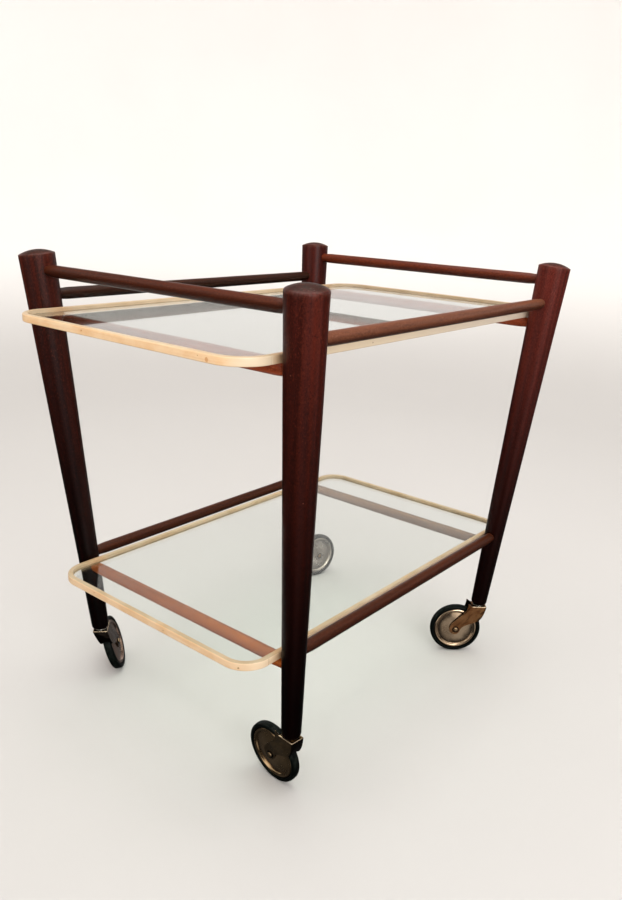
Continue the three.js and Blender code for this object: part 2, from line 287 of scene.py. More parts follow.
# ------------------------------------------------------------------- wood
def wood(name, deep, mid, warm, seed, length=0.5, foot_shade=None, worn=0.0, dusty=0.0, spec=0.2, red=0.6, underside_shade_axis=None, far=1.0, marks=()):
    """Stained, turned hardwood. Local Z is the grain.

    deep, mid, warm: the dark streaks, the main colour and the redder streaks.
    foot_shade: (reach, power), colour and polish falling off below reach * length down to
    the nearly black foot at local z = 0; the darkening of the colour is mostly painted shade, partly a darker stain.
    worn: lighter wear along the arris at the top. dusty: greyer domed end.
    underside_shade_axis: the local axis, "x" or "y", that points down; the underside is painted darker as shade and
    the top painted lighter as light from above.
    far: how dark the +Z end is drawn beside the other, a painted shade standing in for the dark leg reflected over
    that end.
    marks: [(point, radius, colour)] small dents in the stain.
    """
    g = Graph(name)
    base = g.mapped(location=(0.37 * seed, 0.21 * seed, 0.53 * seed))
    bend = g.noise(g.mapped(scale=(1, 1, 0.3), vector=base), 9.0, 2.0, out="Color")
    off = g.node("ShaderNodeVectorMath", operation="MULTIPLY_ADD")
    g.put(off.inputs[0], bend)
    g.put(off.inputs[1], (0.014, 0.014, 0.0))
    g.put(off.inputs[2], g.mapped(location=(0.046 + 0.004 * seed, 0.021, 0), rotation=(0.01, 0.018, 0)))
    wave = g.node(
        "ShaderNodeTexWave",
        {"Vector": g.mapped(scale=(1, 1, 0.05), vector=off.outputs[0]), "Scale": 52.0, "Distortion": 3.4, "Detail": 3.0, "Detail Scale": 1.1},
        wave_type="RINGS", rings_direction="Z", wave_profile="SIN",
    )
    fibre = g.noise(g.mapped(scale=(700, 700, 11), vector=base), 1.0, 3.0, 0.6)
    streak = g.noise(g.mapped(scale=(240, 240, 3.4), vector=base), 1.0, 3.0, 0.6)
    broad = g.noise(g.mapped(scale=(85, 85, 1.5), vector=base), 1.0, 2.0, 0.5)
    pore = g.ramp(g.noise(g.mapped(scale=(1500, 1500, 60), vector=base), 1.0, 2.0, 0.5), 0.60, 0.70)
    tone = g.sum((broad, 0.46), (streak, 0.26), (fibre, 0.16), (wave.outputs["Fac"], 0.14))
    tone = g.ramp(tone, 0.33 if foot_shade else 0.26, 0.70 if foot_shade else 0.78, smooth=False)
    colour = g.mix(tone, deep, mid)
    ruddy = g.ramp(g.noise(g.mapped(scale=(60, 60, 2.2), location=(3.1, 1.7, 0.4), vector=base), 1.0, 3.0, 0.55), 0.46, 0.66)
    colour = g.mix(g.math("MULTIPLY", ruddy, red), colour, warm)
    grain = g.noise(g.mapped(scale=(620, 620, 330), vector=base), 1.0, 4.0, 0.7)
    colour = g.mix(g.ramp(grain, 0.34, 0.48, 0.72 if foot_shade else 0.55, 0.0), colour, tuple(c * 0.6 for c in deep[:3]) + (1,))
    colour = g.mix(g.ramp(grain, 0.53, 0.68, 0.0, 0.58 if foot_shade else 0.40), colour, tuple(a * b for a, b in zip(warm[:3], (1.1, 1.5, 1.7))) + (1,))
    colour = g.mix(g.math("MULTIPLY", pore, 0.35), colour, tuple(c * 0.4 for c in deep[:3]) + (1,))
    x, y, z = g.xyz()
    shine = 0.0
    if underside_shade_axis:
        # painted shade beneath the rail and painted light on its top
        down = g.ramp({"x": x, "y": y}[underside_shade_axis], -0.0050, 0.0058)
        colour = g.mix(1.0, colour, g.mix(down, (1.12, 1.12, 1.12, 1), (0.40, 0.35, 0.34, 1)), "MULTIPLY")
    # painted shade at the +Z end
    if far != 1.0:
        colour = g.mix(1.0, colour, g.mix(g.ramp(z, -0.12, 0.16), (1, 1, 1, 1), (far, far, far, 1)), "MULTIPLY")
    if foot_shade:
        # painted shade: the colour darkens towards the nearly black foot, mostly as shade and partly as a darker stain
        share = g.math("POWER", g.ramp(z, 0.0, length * foot_shade[0], 0.0, 1.0, smooth=False), foot_shade[1])
        painted_foot_shade = g.mix(share, (0.030, 0.012, 0.012, 1), (1, 1, 1, 1))
        colour = g.mix(1.0, colour, painted_foot_shade, "MULTIPLY")
        # lacquer, thinner towards the foot
        shine = g.ramp(z, 0.0, length, 0.0, 1.5 * spec - 0.075, smooth=False)
    scuff = g.ramp(g.noise(g.mapped(scale=(60, 60, 30), vector=base), 1.0, 4.0, 0.6), 0.55, 0.75)
    rough = g.sum((fibre, 0.12), (scuff, 0.12), (1.0, 0.26))
    if worn > 0:
        r = g.node("ShaderNodeVectorMath", operation="LENGTH")
        g.put(r.inputs[0], g.mapped(scale=(1, 1, 0)))
        rim = g.math("MULTIPLY", g.ramp(z, length - 0.0060, length + 0.0005), g.ramp(r.outputs["Value"], 0.0150, 0.0205))
        ragged = g.ramp(g.noise(g.mapped(scale=(420, 420, 260), vector=base), 1.0, 4.0, 0.65), 0.36, 0.66)
        wear = g.math("MULTIPLY", g.math("MULTIPLY", rim, ragged), worn, clamp=True)
        colour = g.mix(wear, colour, srgb(128, 88, 72))
    if dusty > 0:
        top = g.ramp(z, length + 0.0002, length + 0.0035)
        film = g.ramp(g.noise(g.mapped(scale=(260, 260, 260), vector=base), 1.0, 4.0, 0.7), 0.30, 0.68, 0.30, 1.0)
        film = g.math("MULTIPLY", g.math("MULTIPLY", top, film), dusty, clamp=True)
        colour = g.mix(film, colour, srgb(56, 44, 38))
        speck = g.ramp(g.noise(g.mapped(scale=(900, 900, 900), vector=base), 1.0, 2.0, 0.5), 0.66, 0.74)
        colour = g.mix(g.math("MULTIPLY", g.math("MULTIPLY", speck, top), 0.6), colour, srgb(150, 128, 114))
        shine = g.math("MULTIPLY", shine, g.ramp(top, 0.0, 1.0, 1.0, 0.06))
        rough = g.math("MAXIMUM", rough, g.math("MULTIPLY", film, 0.6))
    for point, radius, tint in marks:
        spot = g.math("MULTIPLY", g.near(point, radius * 0.5, radius * 0.6), g.ramp(fibre, 0.3, 0.6, 0.5, 1.0))
        colour = g.mix(spot, colour, tint)
    height = g.sum((pore, -0.8), (fibre, 0.6))
    normal = g.bump(height, 0.00010, 0.5)
    if foot_shade:
        g.principled(
            Base_Color=colour, Roughness=rough, Normal=normal, Specular_IOR_Level=0.05, IOR=1.5,
            Coat_Weight=shine, Coat_Roughness=0.34, Coat_IOR=1.5,
        )
    else:
        g.principled(Base_Color=colour, Roughness=rough, Normal=normal, Specular_IOR_Level=spec, IOR=1.5)
    return g.mat


# --------------------------------------------------------------- other stuff
def strip_material(name, z_mid, marks, leg_shade_spots, seed, pale, tan, front=None):
    """Aged ivory plastic edging: drawn lengthwise lines, soft mottling, stains, and painted shade beside the legs and
    along the lower edge.
    """
    g = Graph(name)
    p = g.mapped(location=(0.31 * seed, 0.17 * seed, 0))
    cloud = g.ramp(g.noise(g.mapped(scale=(26, 26, 40), vector=p), 1.0, 3.0, 0.55), 0.36, 0.70)
    drawn = g.noise(g.mapped(scale=(9, 9, 1900), vector=p), 1.0, 3.0, 0.6)
    long = g.noise(g.mapped(scale=(6, 6, 460), vector=p), 1.0, 2.0, 0.5)
    base = g.mix(cloud, pale, tan)
    amber = g.ramp(g.noise(g.mapped(scale=(46, 46, 150), vector=p), 1.0, 3.0, 0.6, 0.5), 0.54, 0.72)
    base = g.mix(g.math("MULTIPLY", amber, 0.15), base, srgb(228, 160, 92))
    base = g.mix(g.ramp(drawn, 0.48, 0.72, 0.0, 0.24), base, srgb(206, 150, 96))
    base = g.mix(g.ramp(long, 0.55, 0.75, 0.0, 0.25), base, srgb(250, 234, 208))
    x, y, z = g.xyz()
    if front:
        # the long front side has stayed cream
        half, share = front
        cream = g.ramp(y, -half + 0.034, -half + 0.006, 0.0, share)
        base = g.mix(cream, base, g.mix(g.ramp(x, -0.25, 0.20), srgb(228, 210, 182), srgb(222, 210, 194)))
    # painted shade along the lower edge: the bottom of the strip is drawn darker and browner
    low = g.ramp(z, z_mid - 0.0052, z_mid - 0.0036, 1.0, 0.0)
    base = g.mix(g.math("MULTIPLY", low, 0.5), base, srgb(160, 110, 66))
    # painted shade and reflection of the legs on the strip, where it passes them
    for (px, py, pz), radius, tint, amount in leg_shade_spots:
        base = g.mix(g.math("MULTIPLY", g.near((px, py, pz), radius * 0.35, radius), amount), base, tint)
    speck = g.ramp(g.noise(g.mapped(scale=(420, 420, 420), vector=p), 1.0, 2.0, 0.5), 0.71, 0.79)
    base = g.mix(g.math("MULTIPLY", speck, 0.3), base, srgb(150, 104, 66))
    for point, radius, tint in marks:
        edge = g.noise(g.mapped(scale=(900, 900, 900), vector=p), 1.0, 2.0, 0.5)
        spot = g.near(point, radius * 0.45, radius * 0.75)
        spot = g.ramp(g.math("ADD", spot, g.math("MULTIPLY", edge, 0.5)), 0.55, 0.95)
        base = g.mix(spot, base, tint)
    rough = g.ramp(cloud, 0.0, 1.0, 0.34, 0.48, smooth=False)
    normal = g.bump(drawn, 0.00006, 0.5)
    g.principled(Base_Color=base, Roughness=rough, Normal=normal, Specular_IOR_Level=0.4, IOR=1.46)
    return g.mat


def glass_material(name, seed):
    g = Graph(name)
    smear = g.noise(g.mapped(scale=(9, 14, 9), location=(seed, 0, 0)), 1.0, 4.0, 0.62, 0.8)
    rough = g.ramp(smear, 0.45, 0.85, 0.0, 0.035)
    pane = g.node(
        "ShaderNodeBsdfPrincipled",
        {
            "Base Color": (0.955, 0.985, 0.965, 1), "Roughness": rough, "IOR": 1.52, "Transmission Weight": 1.0,
            "Specular IOR Level": 0.5,
        },
    )
    dust = g.node("ShaderNodeBsdfDiffuse", {"Color": (0.80, 0.78, 0.74, 1)})
    film = g.ramp(g.noise(g.mapped(scale=(16, 16, 16), location=(0, seed, 0)), 1.0, 5.0, 0.65), 0.52, 0.80, 0.002, 0.018)
    surface = g.node("ShaderNodeMixShader")
    g.put(surface.inputs[0], film)
    g.nt.links.new(pane.outputs[0], surface.inputs[1])
    g.nt.links.new(dust.outputs[0], surface.inputs[2])
    clear = g.node("ShaderNodeBsdfTransparent", {"Color": (0.91, 0.955, 0.93, 1)})
    path = g.node("ShaderNodeLightPath")
    both = g.node("ShaderNodeMixShader")
    g.put(both.inputs[0], path.outputs["Is Shadow Ray"])
    g.nt.links.new(surface.outputs[0], both.inputs[1])
    g.nt.links.new(clear.outputs[0], both.inputs[2])
    g.nt.links.new(both.outputs[0], g.out.inputs["Surface"])
    return g.mat


def metal(name, bright, dull, stain, rough=(0.16, 0.34), seed=0, scale=60, amount=0.6, spots=0.35, turned_lines=0.0, drawn=0.0, sway=0.0, flow=None, web_shade=0.0):
    """Old polished plating: a clean tone, a tarnished tone and a few dark spots.

    web_shade: how black the front of the fork is drawn across the bend between its arms, painted shade with some dirt.
    """
    g = Graph(name)
    p = g.mapped(location=(0.11 * seed, 0.07 * seed, 0.05 * seed))
    cloud = g.ramp(g.noise(g.mapped(scale=(scale, scale, scale), vector=p), 1.0, 3.0, 0.5, 0.2), 0.32, 0.68)
    fleck = g.ramp(g.noise(g.mapped(scale=(scale * 9, scale * 9, scale * 9), vector=p), 1.0, 3.0, 0.6), 0.62, 0.76)
    colour = g.mix(g.math("MULTIPLY", cloud, amount), bright, dull)
    # the arm runs down and back from the pivot
    along = g.mapped(rotation=(0, math.radians(38), 0), vector=p)
    if drawn > 0:
        # tarnish left in lines along the bent sheet
        lines = g.noise(g.mapped(scale=(1700, 60, 90), vector=along), 1.0, 3.0, 0.6, 0.3)
        colour = g.mix(g.math("MULTIPLY", g.ramp(lines, 0.42, 0.66), drawn), colour, dull)
        bands = g.noise(g.mapped(scale=(230, 60, 48), vector=along), 1.0, 2.0, 0.5, 0.6)
        colour = g.mix(g.math("MULTIPLY", g.ramp(bands, 0.44, 0.66), 0.45), colour, tuple(c * 0.62 for c in dull[:3]) + (1,))
    colour = g.mix(g.math("MULTIPLY", fleck, spots), colour, stain)
    if web_shade > 0:
        x, _, z = g.xyz()
        dz = g.math("SUBTRACT", z, 72 * MM)
        # the front of the bent sheet, as x = -9.4 - 0.377 dz + 0.0121 dz^2 in mm
        front = g.math("MULTIPLY", dz, g.sum((dz, 0.0121 / MM), (1.0, -0.377)))
        front = g.math("SUBTRACT", g.math("SUBTRACT", x, front), -9.4 * MM)
        # painted shade with some dirt: the front of the bent sheet is drawn nearly black
        colour = g.mix(g.ramp(front, 0.6 * MM, 1.9 * MM, web_shade, 0.0), colour, srgb(18, 14, 11))
    r = g.sum((cloud, rough[1] - rough[0]), (fleck, 0.12), (1.0, rough[0]))
    fine = g.noise(g.mapped(scale=(scale * 20, scale * 20, scale * 20), vector=p), 1.0, 2.0, 0.5)
    normal = g.bump(fine, 0.00002, 0.3)
    if sway > 0:
        wide = g.noise(g.mapped(scale=flow or (55, 55, 55), vector=along if flow else p), 1.0, 1.0, 0.4, 0.5 if flow else 0.0)
        normal = g.bump(wide, 0.0016, sway, normal)
    if turned_lines > 0:
        rr = g.node("ShaderNodeVectorMath", operation="LENGTH")
        g.put(rr.inputs[0], g.mapped(scale=(1, 1, 0)))
        lines = g.node("ShaderNodeTexNoise", {"W": g.math("MULTIPLY", rr.outputs["Value"], 5200.0), "Scale": 1.0, "Detail": 2.0}, noise_dimensions="1D")
        normal = g.bump(lines.outputs["Fac"], 0.00002, turned_lines, normal)
    g.principled(Base_Color=colour, Roughness=r, Metallic=1.0, Normal=normal, Specular_IOR_Level=0.5)
    return g.mat


def rubber_material(name, seed):
    """Local Z is the wheel's axis."""
    g = Graph(name)
    p = g.mapped(location=(0.13 * seed, 0.09 * seed, 0))
    r = g.node("ShaderNodeVectorMath", operation="LENGTH")
    g.put(r.inputs[0], g.mapped(scale=(1, 1, 0)))
    tread = g.ramp(r.outputs["Value"], 0.0402, 0.0413)
    grit = g.ramp(g.noise(g.mapped(scale=(240, 240, 240), vector=p), 1.0, 5.0, 0.65), 0.42, 0.72)
    dusty = g.math("MULTIPLY", grit, g.sum((tread, 0.20), (1.0, 0.04)), clamp=True)
    colour = g.mix(dusty, srgb(3, 7, 5), srgb(52, 58, 50))
    rough = g.ramp(dusty, 0.0, 0.5, 0.40, 0.75)
    fine = g.noise(g.mapped(scale=(1500, 1500, 1500), vector=p), 1.0, 3.0, 0.6)
    normal = g.bump(fine, 0.00006, 0.5)
    g.principled(Base_Color=colour, Roughness=rough, Normal=normal, Specular_IOR_Level=0.09)
    return g.mat


# -------------------------------------------------------------------- legs
LEG_LEN = (SHOULDER_Z - FOOT_Z) * LEAN
LEG_LOOK = {
    # seed, shoulder rounding, deep, mid, warm, wear, (reach, power) of the painted foot shade
    "front_left": (1, 3.4, srgb(40, 8, 3), srgb(72, 17, 7), srgb(96, 31, 15), 0.16, (0.90, 2.35)),
    "front_right": (2, 1.6, srgb(58, 15, 9), srgb(98, 32, 22), srgb(118, 43, 28), 0.25, (0.92, 2.1)),
    "back_left": (3, 1.5, srgb(37, 10, 6), srgb(66, 20, 12), srgb(102, 37, 19), 0.20, (1.0, 1.9)),
    "back_right": (4, 1.7, srgb(48, 12, 7), srgb(70, 19, 11), srgb(90, 27, 16), 0.35, (0.90, 2.0)),
}


def leg_profile(fillet):
    lift = math.tan(math.radians(25))
    edge = R_TOP - fillet + fillet * math.cos(math.radians(65))
    dome = edge * lift / 2
    zc = LEG_LEN + DOME - dome - fillet * math.sin(math.radians(65))
    pts = [(0, 0), (4.0, 0), (7.0, 0), (R_FOOT - 3.0, 0.0)]
    pts += [(R_FOOT - 2.2, 0.18), (R_FOOT - 1.4, 0.85), (R_FOOT - 0.7, 2.0), (R_FOOT - 0.2, 3.4)]
    steps = 112
    for k in range(steps + 1):
        t = k / steps
        pts.append((R_FOOT + (R_TOP - R_FOOT) * t, 4.8 + (zc - 4.8) * t))
    pts += arc(R_TOP - fillet, zc, fillet, 0, 65, 9)[1:]
    top = pts[-1][1]
    for k in range(1, 15):
        r = edge * (1 - k / 14)
        pts.append((r if k < 14 else 0.0, top + dome * (1 - (r / edge) ** 2)))
    return pts


LEG_MATRIX = {}
for corner, (sx, sy) in CORNERS.items():
    seed, fillet, deep, mid, warm, worn, foot_shade = LEG_LOOK[corner]
    axis = Vector((sx * LEG_XS, sy * LEG_YS, 1)).normalized()
    turn = Vector((0, 0, 1)).rotation_difference(axis).to_matrix().to_4x4()
    foot = Vector((sx * leg_x(FOOT_Z), sy * leg_y(FOOT_Z), FOOT_Z))
    place = Matrix.Translation(foot * MM) @ turn
    LEG_MATRIX[corner] = place

    def hand(r, z, a, s=seed):
        if z < 1 or r < 8:
            return r
        v = Vector((math.cos(a) * 1.1, math.sin(a) * 1.1, z * 0.012 + 11.0 * s))
        return r + 0.16 * noise.noise(v)

    verts, faces = turned(leg_profile(fillet), 96, radius=hand)
    blank = temp_object(verts, faces)
    bore_v, bore_f = turned([(0, -6), (5.32, -6), (5.32, 38.6), (0, 38.6)], 48)
    back = turn.inverted().to_3x3()
    bore = temp_object([tuple(back @ Vector(v)) for v in bore_v], bore_f)
    me = subtract(blank, [bore])
    me.transform(Matrix.Scale(MM, 4))
    marks = []
    if corner == "front_left":
        # small knocks in the stain, on the side that faces out
        out = math.radians(-140)
        for da, z, rr, tint in ((29, 556, 1.3, srgb(196, 168, 150)), (-38, 470, 0.9, srgb(120, 70, 52)), (12, 330, 0.8, srgb(110, 60, 46))):
            r = R_FOOT + (R_TOP - R_FOOT) * z / LEG_LEN
            w = back @ Vector((math.cos(out + math.radians(da)), math.sin(out + math.radians(da)), 0))
            marks.append(((w.x * r * MM, w.y * r * MM, z * MM), rr * MM, tint))
    mat = wood(
        f"leg_wood_{corner}", deep, mid, warm, seed, length=LEG_LEN * MM, foot_shade=foot_shade, worn=worn, dusty=0.9,
        spec=0.24, red=0.4, marks=marks,
    )
    finish_piece(f"leg_wood_{corner}", me, mat, "frame", [f"leg_{corner}"], place, sharp=40)

# ------------------------------------------------------------------- rails
RAILS = []
SUPPORT = {k: s[3] - STRIP_H - 0.25 - RAIL_R for k, s in SHELF.items()}
for side, s in (("left", -1), ("right", 1)):
    RAILS.append((f"handle_rail_{side}", "y", s, HANDLE_Z, "left_handle" if s < 0 else "handle"))
    RAILS.append((f"top_shelf_support_{side}", "y", s, SUPPORT["top"], "top_support"))
    RAILS.append((f"bottom_shelf_support_{side}", "y", s, SUPPORT["bottom"], "support" if s < 0 else "dull_support"))
for side, s in (("front", -1), ("back", 1)):
    RAILS.append((f"top_side_rail_{side}", "x", s, TOP_SIDE_Z, "side" if s < 0 else "back"))
    RAILS.append((f"bottom_side_rail_{side}", "x", s, LOW_SIDE_Z, "low"))

RAIL_LOOK = {
    "handle": (srgb(72, 26, 10), srgb(114, 46, 20), srgb(132, 55, 25)),
    "left_handle": (srgb(54, 22, 11), srgb(82, 36, 18), srgb(100, 44, 22)),
    "side": (srgb(78, 43, 28), srgb(118, 70, 49), srgb(134, 80, 55)),
    "back": (srgb(32, 14, 8), srgb(54, 27, 15), srgb(68, 34, 18)),
    "low": (srgb(44, 17, 7), srgb(70, 32, 16), srgb(90, 42, 20)),
    "top_support": (srgb(110, 42, 18), srgb(158, 68, 32), srgb(178, 82, 39)),
    "support": (srgb(114, 48, 15), srgb(164, 82, 30), srgb(190, 104, 40)),
    "dull_support": (srgb(92, 62, 44), srgb(126, 90, 66), srgb(142, 100, 70)),
}

for i, (name, axis, s, z, look) in enumerate(RAILS):
    half = leg_x(z) if axis == "x" else leg_y(z)
    r = leg_r(z)
    shoulder = half - r - 0.4
    end = half - r + 7.0
    pts = [(0, -end), (TENON_R - 0.6, -end), (TENON_R, -end + 0.6)]
    cone = [(TENON_R + (RAIL_R - TENON_R) * (0.5 - 0.5 * math.cos(math.pi * k / 8)), -shoulder + TAPER * k / 8) for k in range(9)]
    pts += cone
    n = int((2 * shoulder - 2 * TAPER) // 7)
    for k in range(1, n):
        pts.append((RAIL_R, -shoulder + TAPER + (2 * shoulder - 2 * TAPER) * k / n))
    pts += [(q, -w) for q, w in reversed(cone)]
    pts += [(TENON_R, end - 0.6), (TENON_R - 0.6, end), (0, end)]

    def hand(q, w, a, s=i):
        if q < 7:
            return q
        return q + 0.10 * noise.noise(Vector((math.cos(a) * 1.2, math.sin(a) * 1.2, w * 0.02 + 7.0 * s)))

    verts, faces = turned(pts, 64, radius=hand)
    if axis == "x":
        place = frame_matrix((0, s * leg_y(z) * MM, z * MM), (0, 0, -1), (0, 1, 0), (1, 0, 0))
    else:
        place = frame_matrix((s * leg_x(z) * MM, 0, z * MM), (1, 0, 0), (0, 0, -1), (0, 1, 0))
    deep, mid, warm = RAIL_LOOK[look]
    # the rails other than the shelf supports get painted shade underneath and painted light on top
    mat = wood(
        f"rail_wood_{name}", deep, mid, warm, 10 + i, spec=0.16, red=0.5, underside_shade_axis=None if "support" in look else axis,
        # painted shade at the back end of the left top support, beside the back left leg
        far=0.5 if name == "top_shelf_support_left" else 1.0,
    )
    piece(f"{name}_wood", verts, faces, mat, "frame", [name], place, sharp=50)

# ----------------------------------------------------------------- shelves
STRIP_PROFILE = (
    arc(-0.9, 0.9, 0.9, -90, 0, 4)
    + [(0.06, 3.0), (0.10, 4.8), (0.06, 6.6)]
    + arc(-1.9, 8.1, 1.9, 0, 90, 8)
    + [(-3.2, 10.04), (-4.8, 10.0)]
    + arc(-6.1, 9.2, 0.8, 90, 180, 5)
    + [(-6.9, 7.2), (-6.9, 5.15), (-1.9, 5.15), (-1.9, 0.85), (-6.9, 0.85), (-6.6, 0.1), (-6.2, 0.0), (-3.6, 0.0)]
)


def strip_path(a, b, r):
    """(x, y, nx, ny) round the shelf's outer edge, from joint to joint."""
    gap, out = 0.2, []
    joint = -a + r + 2
    x0, x1 = joint + gap, a - r
    xs = [x0 + 0.0, x0 + 0.25]
    x = x0 + 0.9
    while x < x0 + 17:
        xs.append(x)
        x += 0.7
    while x < x1 - 6:
        xs.append(x)
        x += 7.5
    out += [(x, -b, 0, -1) for x in xs]
    out += [(a - r + r * c, -b + r + r * s_, c, s_) for c, s_ in unit(-90, 0, 26)]
    out += [(a, y, 1, 0) for y in steps(-b + r, b - r, 9)]
    out += [(a - r + r * c, b - r + r * s_, c, s_) for c, s_ in unit(0, 90, 26)]
    out += [(x, b, 0, 1) for x in steps(a - r, -a + r, 9)]
    out += [(-a + r + r * c, b - r + r * s_, c, s_) for c, s_ in unit(90, 180, 26)]
    out += [(-a, y, -1, 0) for y in steps(b - r, -b + r, 9)]
    out += [(-a + r + r * c, -b + r + r * s_, c, s_) for c, s_ in unit(180, 270, 26)]
    out += [(joint - gap - 0.25, -b, 0, -1), (joint - gap, -b, 0, -1)]
    return out


def unit(a0, a1, n):
    return [(math.cos(math.radians(a0 + (a1 - a0) * k / n)), math.sin(math.radians(a0 + (a1 - a0) * k / n))) for k in range(n + 1)]


def steps(a, b, size):
    n = max(2, int(abs(b - a) // size))
    return [a + (b - a) * k / n for k in range(1, n)]


for index, (which, (a, b, r, z)) in enumerate(SHELF.items()):
    path = strip_path(a, b, r)
    verts, faces = [], []
    m = len(STRIP_PROFILE)
    last = len(path) - 1
    for i, (x, y, nx, ny) in enumerate(path):
        wave = 0.16 * noise.noise(Vector((x * 0.018, y * 0.018, 3.0 + index)))
        rise = 0.10 * noise.noise(Vector((x * 0.015, y * 0.015, 9.0 + index)))
        squeeze = 0.0
        along = x - (-a + r + 2.2)
        if which == "top" and y == -b and 0.0 <= along < 17:
            # pinched ridges where the end was warmed and pressed on
            squeeze = 0.13 * (0.5 + 0.5 * math.sin(along * 2 * math.pi / 3.4)) * max(0.0, 1 - along / 16) ** 0.6
        for n, h in STRIP_PROFILE:
            face = 1.0 if n > -1.6 and 1.2 < h < 9.0 else 0.0
            small = 0.25 if i in (0, last) and n > -1.0 else 0.0
            d = n + (wave if n > -6.8 else wave * 0.5) - squeeze * face - small
            verts.append((x + nx * d, y + ny * d, z - STRIP_H + h + (rise if h > 6 else 0.0)))
    for i in range(last):
        for k in range(m):
            q = (k + 1) % m
            faces.append((i * m + k, i * m + q, (i + 1) * m + q, (i + 1) * m + k))
    faces.append(tuple(range(m))[::-1])
    faces.append(tuple(last * m + k for k in range(m)))
    mid_z = (z - STRIP_H / 2) * MM
    leg_shade_spots = []
    # painted shade and reflection of each leg on the strip beside it
    for cx in (-1, 1):
        for cy in (-1, 1):
            zz = z - STRIP_H / 2
            leg_shade_spots.append(((cx * leg_x(zz) * MM, cy * b * MM, zz * MM), 0.019, srgb(196, 138, 82), 0.34))
    marks = []
    if which == "top":
        marks = [
            ((-0.3458, -0.1545, 0.5645), 0.0028, srgb(214, 160, 108)),
            ((-0.3458, -0.1415, 0.5668), 0.0008, srgb(196, 146, 98)),
            ((-0.3458, 0.0520, 0.5662), 0.0012, srgb(196, 128, 66)),
            ((-0.1300, -0.2021, 0.5650), 0.0010, srgb(150, 104, 66)),
        ]
        # painted shade and reflection of the front left leg beside the strip's joint
        leg_shade_spots += [((-0.294, -0.2021, mid_z), 0.008, srgb(206, 150, 84), 0.3)]
    else:
        marks = [
            ((-0.3062, -0.1660, 0.2022), 0.0017, srgb(156, 122, 82)),
            ((-0.3100, -0.0400, 0.2030), 0.0009, srgb(140, 92, 54)),
            ((-0.3100, 0.1000, 0.2045), 0.0010, srgb(170, 112, 62)),
        ]
    # outer face colours, then the top and inside colours, paler in hue and painted darker as shade
    pale, tan, pale_in_shaded, tan_in_shaded = {
        "top": (srgb(246, 212, 170), srgb(236, 192, 142), srgb(210, 186, 154), srgb(198, 172, 138)),
        "bottom": (srgb(232, 200, 162), srgb(222, 182, 138), srgb(190, 170, 140), srgb(178, 154, 120)),
    }[which]
    outside = strip_material(f"edge_plastic_face_{which}", mid_z, marks, leg_shade_spots, index + 1, pale, tan, (b * MM, 0.85 if which == "top" else 0.45))
    inside = strip_material(f"edge_plastic_{which}", mid_z, (), leg_shade_spots, index + 1, pale_in_shaded, tan_in_shaded)
    edge = piece(f"{which}_shelf_edge", verts, faces, [inside, outside], "frame", [f"{which}_shelf_edge_strip"], sharp=34)
    for p in edge.data.polygons:
        # the flat outer face has yellowed more than the top and the inside, which get a darker copy of the material as
        # painted shade
        c = p.center / MM
        qx, qy = max(abs(c.x) - (a - r), 0.0), max(abs(c.y) - (b - r), 0.0)
        away = math.hypot(qx, qy) if qx and qy else (qx or qy)
        p.material_index = 1 if away > r - 1.0 and p.normal.z < 0.72 else 0

    # pane: flat faces and a small ground chamfer round the edge
    e, z1 = 2.05, z - GLASS_DROP
    z0 = z1 - GLASS_T

    def outline(inset):
        aa, bb, rr = a - e - inset, b - e - inset, r - e - inset
        pts = []
        for cx, cy, a0 in ((aa - rr, -bb + rr, -90), (aa - rr, bb - rr, 0), (-aa + rr, bb - rr, 90), (-aa + rr, -bb + rr, 180)):
            pts += [(cx + rr * c, cy + rr * s_) for c, s_ in unit(a0, a0 + 90, 20)]
        return pts

    rings = [(0.5, z0), (0.0, z0 + 0.5), (0.0, z1 - 0.5), (0.5, z1)]
    verts, faces = [], []
    for inset, h in rings:
        verts += [(x, y, h) for x, y in outline(inset)]
    m = len(verts) // len(rings)
    for i in range(len(rings) - 1):
        for k in range(m):
            q = (k + 1) % m
            faces.append((i * m + k, i * m + q, (i + 1) * m + q, (i + 1) * m + k))
    faces.append(tuple(range(m))[::-1])
    faces.append(tuple(3 * m + k for k in range(m)))
    piece(f"{which}_shelf_pane", verts, faces, glass_material(f"shelf_glass_{which}", index * 3.7), "frame", [f"{which}_shelf_glass"], sharp=30)

# ----------------------------------------------------------------- casters
FORKS = {
    c: metal(f"fork_brass_{c}", bright, dull, srgb(50, 36, 24), rough, seed=3 + n, scale=45, amount=0.8, drawn=0.25, spots=0.2, sway=1.0, flow=(120, 50, 42), web_shade=0.9)
    for n, (c, bright, dull, rough) in enumerate((
        ("front_left", srgb(168, 140, 100), srgb(120, 94, 60), (0.12, 0.22)),
        ("front_right", srgb(178, 132, 90), srgb(138, 86, 48), (0.14, 0.24)),
        ("back_left", srgb(164, 144, 130), srgb(128, 108, 94), (0.14, 0.24)),
        ("back_right", srgb(200, 190, 174), srgb(168, 156, 140), (0.26, 0.36)),
    ))
}
